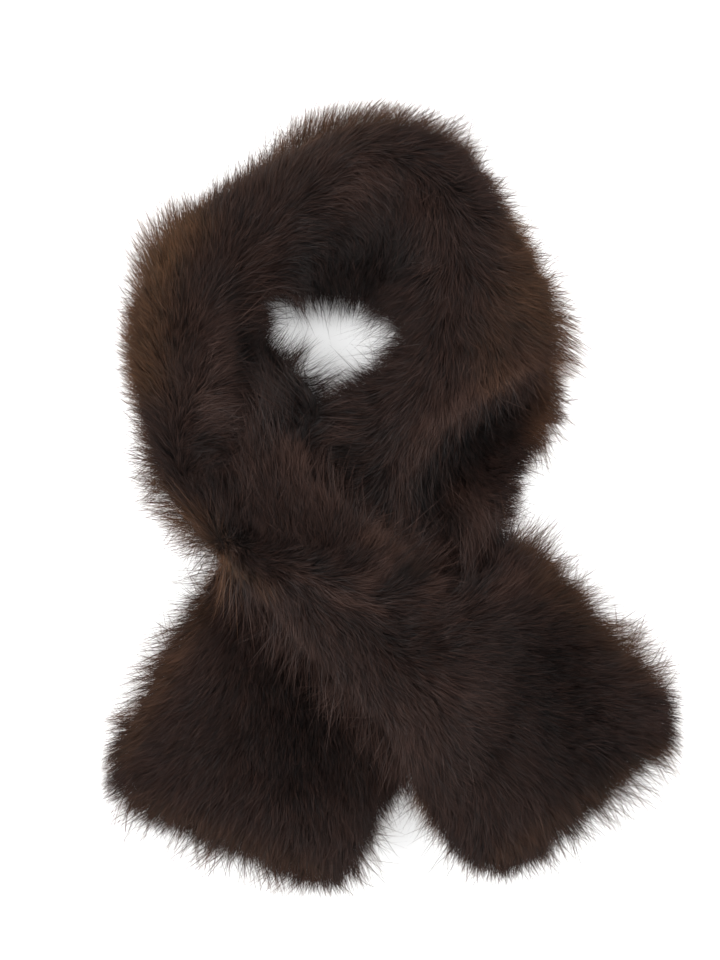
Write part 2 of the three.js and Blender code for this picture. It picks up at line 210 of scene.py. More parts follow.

# Which way the tips point, read off the photo: x, y and heading in degrees, 0 being right
# and 90 the back of the neck. Each limb has its own table, and both use the neck's.
COMB = {
    "left": {
        "outer rim": [
            (-155, 150, 120), (-160, 120, 123), (-160, 90, 128), (-160, 60, 137), (-155, 35, 160),
            (-145, 10, 185), (-130, -15, 205), (-115, -38, 218),
        ],
        "inside the rim": [
            (-140, 160, 110), (-145, 130, 112), (-145, 100, 116), (-145, 75, 122), (-143, 50, 142),
            (-137, 33, 128), (-132, 10, 126), (-120, -8, 120), (-112, -24, 150),
        ],
        "shoulder": [
            (-120, 165, 95), (-125, 140, 98), (-105, 160, 78), (-128, 115, 92), (-128, 85, 88),
            (-132, 66, 114),
        ],
        "towards the opening": [
            (-110, 135, 62), (-108, 110, 12), (-92, 110, 8), (-112, 90, 5), (-95, 95, 0),
            (-110, 72, 4), (-95, 75, 5), (-105, 58, -6), (-92, 60, 12), (-118, 50, -6),
            (-104, 46, -6), (-92, 46, 20),
        ],
        "below the left side": [
            (-124, 34, 40), (-112, 34, 0), (-120, 20, 20), (-108, 20, 5), (-98, 27, 32),
            (-90, 33, 45), (-84, 25, 72), (-96, 12, 50), (-112, 8, 25), (-106, -4, 72),
            (-90, -6, 72), (-100, -17, 70), (-84, -20, 52),
        ],
        "inner lobe": [
            (-85, 85, 80), (-70, 88, 62), (-60, 80, 50), (-72, 68, 74), (-55, 70, 62),
            (-45, 72, 48), (-74, 56, 66), (-62, 52, 78), (-50, 54, 66), (-84, 56, 32),
        ],
        "below the lobe": [
            (-80, 38, 68), (-72, 38, 86), (-64, 38, 90), (-56, 38, 100), (-80, 10, 95),
            (-72, 20, 100), (-60, 20, 108), (-52, 20, 112), (-44, 8, 118), (-60, 0, 106),
            (-76, -6, 100), (-70, -20, 98), (-50, -20, 105), (-38, -5, 112),
        ],
        "crossing, upper half": [
            (-66, -26, 84), (-50, -28, 98), (-30, -28, 92), (-24, -40, 66),
        ],
        "middle of the crossing": [
            (-100, -28, 8), (-84, -29, 5), (-68, -35, 12), (-54, -39, 20), (-42, -43, 24),
            (-30, -50, 18),
        ],
        "crossing, lower half": [
            (-98, -36, -42), (-86, -38, -44), (-66, -44, -44), (-56, -48, -38), (-45, -56, -34),
            (-32, -61, -28), (-12, -67, -18), (10, -70, -6), (28, -70, 6), (-76, -50, -66),
            (-60, -62, -66), (-45, -72, -66), (-35, -84, -58),
        ],
        "upper edge of the crossing": [
            (-24, -16, 66), (-10, -22, 58), (-3, -32, 48), (-14, -46, 48), (8, -28, 45),
            (20, -34, 45), (12, -48, 38), (30, -48, 45), (42, -44, 40), (50, -56, 48),
            (66, -46, 92), (62, -60, 48), (76, -50, 55), (76, -36, 60), (92, -46, 38),
            (88, -60, 20), (108, -58, 20),
        ],
        "right tail": [
            (20, -85, 4), (45, -85, 0), (70, -90, 0), (100, -88, 0), (130, -90, 3),
            (22, -102, -22), (45, -108, -8), (75, -112, -3), (105, -115, 0), (140, -118, 0),
            (165, -118, 0), (172, -136, -8), (55, -130, -12), (85, -138, -22), (118, -138, -8),
            (145, -148, -16), (162, -160, -26),
        ],
        "foot of the right tail": [
            (32, -142, -46), (55, -158, -40), (85, -162, -42), (118, -168, -36), (143, -178, -36),
            (15, -150, -66), (28, -172, -72), (52, -182, -68), (82, -188, -60), (108, -192, -48),
            (122, -200, -48), (95, -215, -62), (66, -222, -84), (45, -218, -112), (30, -203, -122),
            (18, -188, -108), (40, -198, -84),
        ],
        "edge over the lower tail": [
            (-100, -46, -70), (-86, -58, -64), (-72, -72, -80), (-58, -86, -102),
            (-45, -104, -115), (-30, -124, -118), (-18, -142, -104), (-2, -165, -90),
            (8, -128, -62), (-6, -110, -64), (-18, -96, -66),
        ],
    },
    "neck": {
        "outer rim": [
            (-108, 190, 76), (-88, 203, 62), (-65, 214, 58), (-48, 226, 60), (-30, 235, 72),
            (-8, 238, 80), (12, 236, 62), (30, 228, 50), (46, 217, 42), (60, 203, 34),
            (72, 185, 26), (84, 165, 12), (95, 145, -4),
        ],
        "top of the band": [
            (-92, 175, 66), (-98, 155, 68), (-80, 185, 60), (-62, 195, 52), (-45, 210, 48),
            (-20, 222, 30), (5, 224, 10), (25, 212, 5), (42, 198, 20), (52, 182, 12), (62, 165, 0),
            (70, 150, -18), (45, 162, -30),
        ],
        "turn into the opening": [
            (-90, 142, 42), (-72, 152, 33), (-58, 165, 15), (-45, 180, 4), (-32, 190, -32),
            (-18, 198, -54), (-5, 200, -66), (12, 198, -84), (28, 185, -98), (36, 170, -98),
            (25, 165, -112), (14, 168, -114), (-20, 180, -44), (0, 180, -84),
        ],
        "inner slope": [
            (-68, 138, -20), (-52, 148, -58), (-35, 155, -80), (-12, 160, -88), (5, 160, -98),
            (14, 148, -128), (-40, 132, -82), (-15, 135, -90), (8, 132, 188), (-60, 128, -70),
            (-78, 126, -35), (24, 142, -134),
        ],
    },
    "right": {
        "outer rim": [
            (98, 128, -18), (102, 105, -26), (105, 85, -26), (104, 65, -18), (98, 46, -12),
            (90, 28, -4), (80, 8, 4), (75, -6, 4),
        ],
        "outer slope": [
            (72, 132, -24), (86, 115, -28), (82, 96, -38), (92, 88, -38), (58, 120, -44),
            (64, 100, -58), (76, 80, -64), (62, 78, -74), (84, 66, -60),
        ],
        "round the opening": [
            (38, 132, -96), (22, 118, -128), (10, 112, 186), (6, 102, 178), (30, 105, -108),
            (46, 104, -82), (12, 92, -152), (-2, 86, 150), (-18, 78, 146), (-32, 68, 144),
            (28, 84, -108),
        ],
        "ridge": [
            (46, 84, -84), (66, 62, -76), (50, 60, -80), (36, 56, -92), (22, 58, -112),
            (28, 40, -104), (16, 26, -104), (12, 10, -84), (4, 2, -78), (2, 18, -92),
            (8, 42, -118),
        ],
        "inside the band": [
            (4, 66, -150), (-12, 58, 178), (-30, 52, 168), (-42, 46, 186), (-20, 38, 174),
            (-38, 30, 184), (-6, 28, -175), (-25, 15, 176), (-10, 0, -150),
        ],
        "under the ridge": [
            (70, 50, -58), (84, 44, -36), (62, 34, -42), (72, 24, -10), (48, 24, -60),
            (32, 16, -84), (22, -6, -80), (34, -16, -84), (28, -34, -70),
        ],
        "tuft under the ridge": [
            (44, 2, -34), (56, 4, 4), (66, 6, 8), (52, -12, -36), (64, -12, -14), (58, -26, -44),
            (46, -28, -56), (68, -26, -30),
        ],
        "left tail": [
            (-118, -66, 200), (-135, -86, 198), (-148, -104, 204), (-158, -124, 208),
            (-168, -148, 200), (-175, -162, 186), (-171, -178, 204), (-102, -72, 236),
            (-86, -80, 262), (-112, -98, 232), (-128, -108, 212), (-90, -108, 268),
            (-122, -128, 222), (-142, -138, 214), (-104, -122, 250), (-146, -166, 214),
            (-122, -158, 224), (-106, -146, 236), (-72, -125, 266), (-64, -155, 264),
        ],
        "foot of the left tail": [
            (-156, -188, 226), (-134, -194, 236), (-112, -208, 244), (-82, -222, 256),
            (-56, -232, 265), (-30, -233, 276), (-15, -214, 298), (-4, -192, 306),
            (-94, -180, 236), (-92, -202, 248), (-66, -205, 258), (-50, -182, 266),
            (-38, -208, 270), (-22, -192, 284), (-20, -160, 270), (-36, -168, 264),
        ],
    },
}

# Areas of the fur by limb. Each fades out round a line in plan, from its start to its end.
# Above 0 the pile lies flat and its hairs get a painted sheen; below 0 it stands up and its hairs
# get painted shade, for the shadow in troughs, partings and slopes that face away from the lamps.
PILE_AND_PAINTED_LIGHT = {
    "left": {
        "inner lobe": {"start": (-88, 88), "end": (-50, 56), "radius": 13, "amount": -1.5},
        "dip below the left side": {"start": (-114, 33), "end": (-107, 29), "radius": 6, "amount": -0.7},
        "dip at the left rim": {"start": (-114, 9), "end": (-102, 8), "radius": 6, "amount": -0.6},
        "dip above the crossing": {"start": (-97, -14), "end": (-92, -22), "radius": 6, "amount": -0.45},
        "dip on the shoulder": {"start": (-108, 124), "end": (-104, 126), "radius": 7, "amount": -0.4},
        "dip beside the shoulder": {"start": (-130, 98), "end": (-128, 86), "radius": 7, "amount": -0.3},
        "parting on the crossing": {"start": (-46, -34), "end": (-24, -54), "radius": 3, "amount": -0.4},
        "first gap on the crossing": {"start": (-2, -50), "end": (8, -42), "radius": 4, "amount": -0.6},
        "second gap on the crossing": {"start": (44, -44), "end": (54, -50), "radius": 5, "amount": -0.6},
        "third gap on the crossing": {"start": (12, -50), "end": (20, -46), "radius": 4, "amount": -0.5},
        "fourth gap on the crossing": {"start": (-24, -36), "end": (-18, -32), "radius": 4, "amount": -0.4},
        "dip on the crossing": {"start": (-14, -76), "end": (6, -84), "radius": 8, "amount": -0.4},
        "below the crossing": {"start": (2, -92), "end": (30, -90), "radius": 14, "amount": -0.2},
        "middle of the right tail": {"start": (94, -118), "end": (122, -160), "radius": 24, "amount": -0.65},
        "right tail, upper part": {"start": (64, -84), "end": (100, -98), "radius": 12, "amount": -0.3},
        "side of the lobe": {"start": (-66, 40), "end": (-60, 28), "radius": 4, "amount": 0.7},
        "below the lobe": {"start": (-64, 26), "end": (-46, 6), "radius": 8, "amount": 0.5},
        "inner edge above the crossing": {"start": (-54, 24), "end": (-34, 0), "radius": 4, "amount": 0.6},
        "left side": {"start": (-116, 62), "end": (-98, 78), "radius": 12, "amount": 0.9},
        "side of the opening": {"start": (-112, 116), "end": (-102, 90), "radius": 9, "amount": 0.7},
        "first tuft of the crossing": {"start": (-14, -24), "end": (-5, -18), "radius": 5, "amount": 1.0},
        "second tuft of the crossing": {"start": (-18, -50), "end": (-8, -42), "radius": 5, "amount": 1.0},
        "third tuft of the crossing": {"start": (26, -54), "end": (34, -44), "radius": 5, "amount": 1.0},
        "fourth tuft of the crossing": {"start": (64, -56), "end": (78, -46), "radius": 5, "amount": 0.9},
        "long hairs of the crossing": {"start": (-4, -36), "end": (6, -24), "radius": 2.5, "amount": 0.6},
        "first arch on the crossing": {"start": (-58, -45), "end": (-32, -60), "radius": 3, "amount": 0.7},
        "second arch on the crossing": {"start": (-32, -60), "end": (-6, -69), "radius": 3, "amount": 0.9},
        "edge over the left tail": {"start": (-78, -62), "end": (-22, -130), "radius": 6, "amount": 0.5},
        "beside the notch": {"start": (4, -136), "end": (10, -164), "radius": 9, "amount": 0.5},
        "right tail, inner part": {"start": (40, -116), "end": (60, -132), "radius": 12, "amount": 0.4},
    },
    "neck": {
        "inner slope of the neck": {"start": (-44, 152), "end": (0, 156), "radius": 17, "amount": -0.8},
        "foot of the inner slope": {"start": (-48, 134), "end": (0, 134), "radius": 12, "amount": -0.8},
        "turn of the neck": {"start": (-30, 186), "end": (-10, 198), "radius": 8, "amount": 0.6},
        "left turn of the neck": {"start": (-84, 146), "end": (-62, 160), "radius": 8, "amount": 0.4},
        "right turn of the neck": {"start": (20, 176), "end": (18, 138), "radius": 8, "amount": 0.5},
    },
    "right": {
        "trough under the ridge": {"start": (22, 12), "end": (64, 46), "radius": 10, "amount": -1.2},
        "foot of the trough": {"start": (22, 2), "end": (30, -36), "radius": 8, "amount": -1.0},
        "band beside the crossing": {"start": (-34, 22), "end": (-2, -6), "radius": 11, "amount": -0.8},
        "band below the opening": {"start": (-24, 54), "end": (-6, 34), "radius": 11, "amount": -0.3},
        "middle of the left tail": {"start": (-62, -112), "end": (-52, -164), "radius": 22, "amount": -0.8},
        "left tail, outer part": {"start": (-112, -142), "end": (-102, -158), "radius": 15, "amount": -0.3},
        "notch under the tuft": {"start": (68, -30), "end": (72, -36), "radius": 6, "amount": -0.6},
        "rim below the ridge": {"start": (104, 72), "end": (92, 40), "radius": 8, "amount": 0.6},
        "ridge, upper part": {"start": (86, 82), "end": (48, 60), "radius": 6, "amount": 0.7},
        "ridge, middle": {"start": (48, 60), "end": (22, 40), "radius": 7, "amount": 1.0},
        "ridge, foot": {"start": (20, 36), "end": (7, -2), "radius": 7, "amount": 1.0},
        "side of the lobe": {"start": (-52, 34), "end": (-42, 38), "radius": 4, "amount": 0.6},
        "right end of the opening": {"start": (-4, 130), "end": (6, 128), "radius": 5, "amount": 0.6},
        "tuft under the ridge": {"start": (40, 2), "end": (58, -14), "radius": 7, "amount": 1.0},
        "left tail, outer edge": {"start": (-134, -100), "end": (-148, -116), "radius": 12, "amount": 0.3},
    },
}

# The same for painted golden glow on the tips, which stands for side light shining through them; the outline
# gets it as well
GLOW_AREAS = {
    "left": {
        "left shoulder": {"start": (-158, 78), "end": (-150, 148), "radius": 12, "amount": 0.85},
        "top of the left shoulder": {"start": (-146, 156), "end": (-126, 172), "radius": 11, "amount": 0.8},
        "crossing, lower edge": {"start": (-104, -40), "end": (-76, -56), "radius": 4, "amount": 0.4},
        "crossing, upper edge": {"start": (-14, -20), "end": (22, -42), "radius": 5, "amount": 0.06},
        "right tail, upper edge": {"start": (98, -50), "end": (164, -106), "radius": 8, "amount": 0.4},
        "right tail, foot": {"start": (64, -226), "end": (166, -158), "radius": 6, "amount": 0.25},
    },
    "neck": {
        "back of the neck": {"start": (-96, 196), "end": (-6, 232), "radius": 8, "amount": 0.12},
    },
    "right": {
        "right outer slope": {"start": (84, 162), "end": (97, 108), "radius": 12, "amount": 0.6},
        "ridge": {"start": (86, 86), "end": (62, 70), "radius": 6, "amount": 0.2},
        "rim below the ridge": {"start": (106, 72), "end": (92, 40), "radius": 7, "amount": 0.5},
        "right inner slope": {"start": (72, 124), "end": (60, 84), "radius": 10, "amount": 0.25},
        "left tail, foot": {"start": (-164, -188), "end": (-46, -234), "radius": 6, "amount": 0.25},
        "left tail, outer edge": {"start": (-120, -66), "end": (-170, -160), "radius": 6, "amount": 0.4},
    },
}

# The same for how many millimetres longer the hairs are
TRIM = {
    "left": {
        "left side": {"start": (-166, 112), "end": (-160, 44), "radius": 14, "amount": -4.5},
        "corner of the opening": {"start": (-78, 122), "end": (-74, 106), "radius": 9, "amount": -9.0},
        "right tail, corner": {"start": (172, -136), "end": (150, -176), "radius": 12, "amount": 6.5},
        "right tail, foot": {"start": (92, -228), "end": (20, -196), "radius": 12, "amount": -4.0},
        "notch": {"start": (4, -166), "end": (12, -190), "radius": 9, "amount": -6.0},
        "right tail, upper edge": {"start": (76, -20), "end": (104, -46), "radius": 8, "amount": -2.5},
    },
    "neck": {
        "left turn of the outline": {"start": (-122, 184), "end": (-88, 208), "radius": 12, "amount": -5.0},
        "top of the outline": {"start": (-34, 242), "end": (22, 238), "radius": 10, "amount": -2.5},
        "right turn of the outline": {"start": (50, 214), "end": (90, 148), "radius": 12, "amount": -4.5},
        "upper side of the opening": {"start": (-52, 122), "end": (-16, 118), "radius": 8, "amount": -4.5},
    },
    "right": {
        "waist": {"start": (84, 22), "end": (74, -4), "radius": 8, "amount": -6.5},
        "lower side of the opening": {"start": (-36, 72), "end": (-10, 88), "radius": 9, "amount": -11.0},
        "right corner of the opening": {"start": (-4, 108), "end": (-2, 98), "radius": 8, "amount": -8.0},
        "left tail, corner": {"start": (-178, -150), "end": (-170, -176), "radius": 12, "amount": 5.5},
        "left tail, upper end": {"start": (-112, -46), "end": (-124, -64), "radius": 7, "amount": -3.0},
        "left tail, foot": {"start": (-100, -224), "end": (-84, -232), "radius": 9, "amount": 2.5},
        "notch": {"start": (-6, -198), "end": (0, -184), "radius": 9, "amount": -7.0},
        "ridge, upper part": {"start": (88, 82), "end": (46, 58), "radius": 7, "amount": -5.0},
        "ridge, lower part": {"start": (46, 58), "end": (14, 22), "radius": 7, "amount": -5.0},
    },
}


rng = np.random.default_rng(SEED)


def unit(vectors):
    return vectors / np.maximum(np.linalg.norm(vectors, axis=-1, keepdims=True), 1e-9)


def smooth_step(values, low, high):
    t = np.clip((values - low) / (high - low), 0, 1)
    return t * t * (3 - 2 * t)


def between(start, end, share):
    return start + (end - start) * share


def node_mesh(name):
    """Points in millimetres and triangles of a CAD node."""
    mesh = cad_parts[name].data
    mesh.calc_loop_triangles()
    points = np.empty(len(mesh.vertices) * 3)
    mesh.vertices.foreach_get("co", points)
    triangles = np.empty(len(mesh.loop_triangles) * 3, np.int32)
    mesh.loop_triangles.foreach_get("vertices", triangles)
    return points.reshape(-1, 3) / MM, triangles.reshape(-1, 3)


def joined(meshes):
    """Several meshes of points and triangles as one."""
    starts = np.cumsum([0] + [len(points) for points, _ in meshes[:-1]])
    points = np.concatenate([points for points, _ in meshes])
    triangles = np.concatenate([faces + start for (_, faces), start in zip(meshes, starts)])
    return points, triangles


def stretch_mesh(stretch):
    return joined([node_mesh(f"{stretch}_face"), node_mesh(f"{stretch}_back")])


def tree(points, faces):
    return BVHTree.FromPolygons(points.tolist(), faces.tolist())


def triangle_areas(points, triangles):
    a, b, c = (points[triangles[:, i]] for i in range(3))
    return 0.5 * np.linalg.norm(np.cross(b - a, c - a), axis=1)


def remeshed(points, triangles):
    """One even quad mesh round the whole of a limb."""
    mesh = bpy.data.meshes.new("limb")
    mesh.from_pydata((points * MM).tolist(), [], triangles.tolist())
    limb = bpy.data.objects.new("limb", mesh)
    bpy.context.scene.collection.objects.link(limb)
    modifier = limb.modifiers.new("even", "REMESH")
    modifier.mode = "VOXEL"
    modifier.voxel_size = VOXEL * MM
    shown = limb.evaluated_get(bpy.context.evaluated_depsgraph_get()).to_mesh()
    new_points = np.array([vertex.co for vertex in shown.vertices]) / MM
    quads = np.array([tuple(face.vertices) for face in shown.polygons])
    bpy.data.objects.remove(limb)
    bpy.data.meshes.remove(mesh)
    return new_points, quads


def edges_of(quads):
    pairs = np.concatenate([quads[:, [i, (i + 1) % 4]] for i in range(4)])
    return np.unique(np.sort(pairs, axis=1), axis=0)


def neighbour_mean(values, edges):
    total = np.zeros_like(values)
    count = np.zeros(len(values))
    for a, b in ((0, 1), (1, 0)):
        np.add.at(total, edges[:, a], values[edges[:, b]])
        np.add.at(count, edges[:, a], 1)
    return total / count.reshape(-1, *[1] * (values.ndim - 1))


def smoothed(values, edges, rounds):
    for _ in range(rounds):
        values = 0.5 * values + 0.5 * neighbour_mean(values, edges)
    return values


def vertex_normals(points, quads):
    corners = points[quads]
    flat = np.cross(corners[:, 2] - corners[:, 0], corners[:, 3] - corners[:, 1])
    normals = np.zeros_like(points)
    for i in range(4):
        np.add.at(normals, quads[:, i], flat)
    return unit(normals)


def face_normals(skin):
    return unit(skin["normals"][skin["quads"]].mean(axis=1))


def backing(points, quads):
    """The cloth below the pile: the limb's surface moved in by the depth of its fur."""
    edges = edges_of(quads)
    points = smoothed(points, edges, SMOOTH_ROUNDS)
    normals = vertex_normals(points, quads)
    inside = tree(points, quads)
    depths = np.empty(len(points))
    for i, (point, normal) in enumerate(zip(points, normals)):
        hit = inside.ray_cast(Vector(point - normal), Vector(-normal))
        thickness = hit[3] if hit[3] is not None else PILE_DEPTH
        pressed = 1 - smooth_step(normal[2], *PRESSED_FACING)
        depths[i] = min(between(PILE_DEPTH, PRESSED_DEPTH, pressed), DEEPEST_SHARE * thickness)
    depths = smoothed(depths, edges, SMOOTH_ROUNDS)
    points = points - normals * depths[:, None]
    points = smoothed(points, edges, LAST_SMOOTH_ROUNDS)
    points[:, 2] = np.maximum(points[:, 2], LOWEST_BACKING)
    return points, vertex_normals(points, quads)


def limb_skin(limb):
    """The backing of one limb and of its half of the neck, and the stretch of each of its faces."""
    stretches = [*LIMBS[limb], NECK]
    meshes = [stretch_mesh(stretch) for stretch in stretches]
    points, quads = remeshed(*joined(meshes))
    centres = points[quads].mean(axis=1)
    trees = [tree(*mesh) for mesh in meshes]
    nearest = [min(range(3), key=lambda i: trees[i].find_nearest(Vector(c))[3]) for c in centres]
    owner = np.array(stretches)[nearest]
    left_half = centres[:, 0] < NECK_SPLIT
    kept = (owner != NECK) | (left_half if limb == "left" else ~left_half)
    points, normals = backing(points, quads)
    return {"points": points, "normals": normals, "quads": quads[kept], "owner": owner[kept]}


def hidden_faces(skin, other):
    """Faces with the other limb's backing close in front of them."""
    cover = tree(other["points"], other["quads"])
    centres = skin["points"][skin["quads"]].mean(axis=1)
    looks = zip(centres, face_normals(skin))
    hits = [cover.ray_cast(Vector(c + n), Vector(n), COVER_REACH)[0] for c, n in looks]
    return np.array([hit is not None for hit in hits])


def comb_headings(limb, spots):
    """Headings in plan. Their length is 1 where the guides near a spot agree, and less elsewhere."""
    rows = [row for table in (COMB[limb], COMB["neck"]) for area in table.values() for row in area]
    guides = np.array(rows, float)
    angles = np.radians(guides[:, 2])
    headings = np.stack([np.cos(angles), np.sin(angles)], axis=1)
    apart = ((spots[:, None] - guides[None, :, :2]) ** 2).sum(axis=2)
    weights = 1 / (apart + GUIDE_SOFTNESS) ** 2
    return weights @ headings / weights.sum(axis=1, keepdims=True)


def area_amount(areas, limb, spots):
    """Sum of the limb's and the neck's amounts at each spot, fading out round each area's line."""
    total = np.zeros(len(spots))
    for row in [*areas[limb].values(), *areas["neck"].values()]:
        start = np.array(row["start"])
        line = np.array(row["end"]) - start
        along = np.clip((spots - start) @ line / (line @ line), 0, 1)
        apart = np.linalg.norm(spots - start - along[:, None] * line, axis=1)
        total += row["amount"] * np.exp(-0.5 * (apart / row["radius"]) ** 2)
    return total


def waves(spots, wavelength, seed):
    """Smooth noise from -1 to 1 about, from a few waves in random directions."""
    dice = np.random.default_rng(seed)
    total = np.zeros(len(spots))
    for _ in range(WAVES_ADDED):
        way = unit(dice.normal(size=spots.shape[1])) * 2 * math.pi / wavelength
        total += np.sin(spots @ way * dice.uniform(*WAVE_RANGE) + dice.uniform(0, 2 * math.pi))
    return total / WAVE_HEIGHT


def along_strand(first, last, s):
    """Where a strand of unit length is at s, leaving its root along first and ending along last."""
    return first * (s - s * s / 2) + last * (s * s / 2)


def rim_share(normals, lean=RIM_LEAN):
    return smooth_step(np.linalg.norm(normals[:, :2], axis=1), *lean)


def seen_spots(middles, tips):
    """Where in plan the part of each strand is that shows, its outer half."""
    return 0.5 * (middles + tips)[:, :2]


def combed(limb, roots, normals, rim, guard):
    """Which way each strand lies along the backing, and how tangled the strands are there."""
    heading = comb_headings(limb, roots[:, :2])
    tangle = 1 - smooth_step(np.linalg.norm(heading, axis=1), *AGREEMENT)
    heading = unit(unit(heading) + unit(normals[:, :2]) * (RIM_TURN * rim)[:, None])
    swirl = 0
    for row in SWIRLS:
        wave = waves(roots, row["wavelength"], row["seed"])
        swirl = swirl + (row["degrees"] + row["tangled"] * tangle) * wave
    stray = STRAY["degrees"] + STRAY["guard"] * guard + STRAY["tangled"] * tangle
    turn = np.radians(swirl + stray * rng.normal(size=len(roots)))
    cos, sin = np.cos(turn), np.sin(turn)
    turned = np.stack([
        heading[:, 0] * cos - heading[:, 1] * sin,
        heading[:, 0] * sin + heading[:, 1] * cos,
        np.zeros(len(roots)),
    ], axis=1)
    return unit(turned - normals * (turned * normals).sum(axis=1, keepdims=True)), tangle


def rise(end, rim, under, upright):
    """Degrees that the strands rise at one of their ends, before their own differences."""
    row = RISE[end]
    return row["top"] + row["rim"] * rim + row["under"] * under + row["upright"] * upright


def strand_ways(roots, normals, along, rim, under, upright, guard):
    """Directions in which each strand leaves its root and ends."""
    count = len(roots)
    rise_root = rise("root", rim, under, upright) + RISE_SPREAD * rng.normal(size=count)
    rise_tip = rise("tip", rim, under, upright)
    rise_tip += RISE_WAVES["degrees"] * waves(roots, RISE_WAVES["wavelength"], RISE_WAVES["seed"])
    rise_tip += (RISE_SPREAD + GUARD_RISE_SPREAD * guard) * rng.normal(size=count)
    rise_root, rise_tip = np.radians(rise_root)[:, None], np.radians(rise_tip)[:, None]
    first = normals * np.sin(rise_root) + along * np.cos(rise_root)
    last = normals * np.sin(rise_tip) + along * np.cos(rise_tip)
    first = unit(first + ROOT_STRAY * rng.normal(size=(count, 3)))
    droop = np.array([0, 0, RIM_DROOP]) * rim[:, None]
    last = unit(last + TIP_STRAY * rng.normal(size=(count, 3)) - droop)
    return first, last


def strand_lengths(limb, roots, rim, under, upright, tangle, guard):
    """Length of each strand: its area's, with the guard hairs longer and each a little different."""
    length = between(HAIR_LENGTH, RIM_LENGTH, rim)
    length = between(length, UNDER_LENGTH, under)
    length = length * (1 - UPRIGHT_SHORTER * np.maximum(upright, 0)) * (1 - TANGLE_SHORTER * tangle)
    length = np.maximum(length + area_amount(TRIM, limb, roots[:, :2]), SHORTEST)
    spread = between(LENGTH_SPREAD, RIM_LENGTH_SPREAD, rim)
    length = length * np.clip(MEAN_LENGTH + spread * rng.normal(size=len(roots)), *LENGTH_LIMITS)
    longer = between(GUARD_LENGTH, RIM_GUARD_LENGTH, rim)
    return (length * (1 + (longer - 1) * guard))[:, None]


def strand_curves(limb, roots, normals, guard):
    """Middle and tip of each strand, before clumping. On the rims the middle is nearer the root."""
    rim = rim_share(normals)
    under = smooth_step(-normals[:, 2], *UNDER_FACING)
    upright = np.clip(-area_amount(PILE_AND_PAINTED_LIGHT, limb, roots[:, :2]), *UPRIGHT_LIMITS)
    along, tangle = combed(limb, roots, normals, rim, guard)
    first, last = strand_ways(roots, normals, along, rim, under, upright, guard)
    length = strand_lengths(limb, roots, rim, under, upright, tangle, guard)
    widest = between(WIDEST_AT, RIM_WIDEST_AT, rim)[:, None]
    middles = roots + length * along_strand(first, last, widest)
    tips = roots + length * along_strand(first, last, 1)
    return middles, tips


def clumped(roots, middles, tips, drawn):
    """Strands drawn towards the strand that leads their clump, at the tip most."""
    for level in CLUMPS:
        leaders = rng.choice(len(roots), max(1, len(roots) // level["strands"]), replace=False)
        finder = KDTree(len(leaders))
        for i, leader in enumerate(leaders):
            finder.insert(Vector(roots[leader]), i)
        finder.balance()
        mine = leaders[[finder.find(Vector(root))[1] for root in roots]]
        uneven = (1 + PULL_SPREAD * rng.normal(size=len(roots))).clip(*PULL_LIMITS)
        pull = level["pull"] * uneven * drawn
        leaning = (tips[mine] - roots[mine]) - (tips - roots)
        meeting = tips[mine] - tips
        move = level["meeting"] * meeting + (1 - level["meeting"]) * leaning
        tips = tips + pull[:, None] * move
        middles = middles + MIDDLE_PULL * pull[:, None] * move
    return middles, tips


def limb_roots(skin, density, strands_per_mm2):
    """Random points on the limb's backing, with their normals and stretches."""
    quads = skin["quads"]
    triangles = np.concatenate([quads[:, [0, 1, 2]], quads[:, [0, 2, 3]]])
    owner = np.tile(skin["owner"], 2)
    weights = triangle_areas(skin["points"], triangles) * np.tile(density, 2)
    picked = rng.choice(len(triangles), int(weights.sum() * strands_per_mm2), p=weights / weights.sum())
    u, v = rng.random((2, len(picked), 1))
    over = u + v > 1
    u, v = np.where(over, 1 - u, u), np.where(over, 1 - v, v)
    a, b, c = (triangles[picked, i] for i in range(3))
    roots, normals = (
        (1 - u - v) * skin[part][a] + u * skin[part][b] + v * skin[part][c]
        for part in ("points", "normals")
    )
    return roots, unit(normals), owner[picked]


def on_outline(roots, normals, skins):
    """Whether nothing lies a little way out from each root on a rim."""
    covers = [tree(skin["points"], skin["quads"]) for skin in skins]
    outside = np.zeros(len(roots))
    for i in np.flatnonzero(rim_share(normals, GLOW_LEAN) > LEAST_RIM):
        out = unit(normals[i, :2]) * OUTLINE_REACH
        above = Vector((roots[i, 0] + out[0], roots[i, 1] + out[1], ABOVE_ALL))
        outside[i] = all(cover.ray_cast(above, Vector((0, 0, -1)))[0] is None for cover in covers)
    return outside


def glow_share(limb, roots, normals, seen, outside):
    """Painted golden glow on the tips, standing for light shining through them: in its own areas, and on the
    outline apart from the neck opening's.
    """
    to_opening = np.array(OPENING) - roots[:, :2]
    apart = np.linalg.norm(to_opening, axis=1)
    facing = (unit(to_opening) * unit(normals[:, :2])).sum(axis=1)
    inward = smooth_step(facing, *OPENING_FACING) * (1 - smooth_step(apart, *OPENING_REACH))
    rims = RIM_GLOW * rim_share(normals, GLOW_LEAN) * outside * (1 - inward)
    return np.clip(area_amount(GLOW_AREAS, limb, seen) + rims, 0, 1)


def mesh_object(name, points, loops, sizes):
    """A mesh from points in millimetres and the corners of faces of the given sizes."""
    mesh = bpy.data.meshes.new(name)
    mesh.vertices.add(len(points))
    mesh.vertices.foreach_set("co", (points * MM).astype(np.float32).ravel())
    mesh.loops.add(len(loops))
    mesh.loops.foreach_set("vertex_index", loops.astype(np.int32))
    mesh.polygons.add(len(sizes))
    starts = np.concatenate([[0], np.cumsum(sizes)[:-1]])
    mesh.polygons.foreach_set("loop_start", starts.astype(np.int32))
    mesh.polygons.foreach_set("use_smooth", np.ones(len(sizes), bool))
    mesh.update(calc_edges=True)
    piece = bpy.data.objects.new(name, mesh)
    bpy.context.scene.collection.objects.link(piece)
    return piece


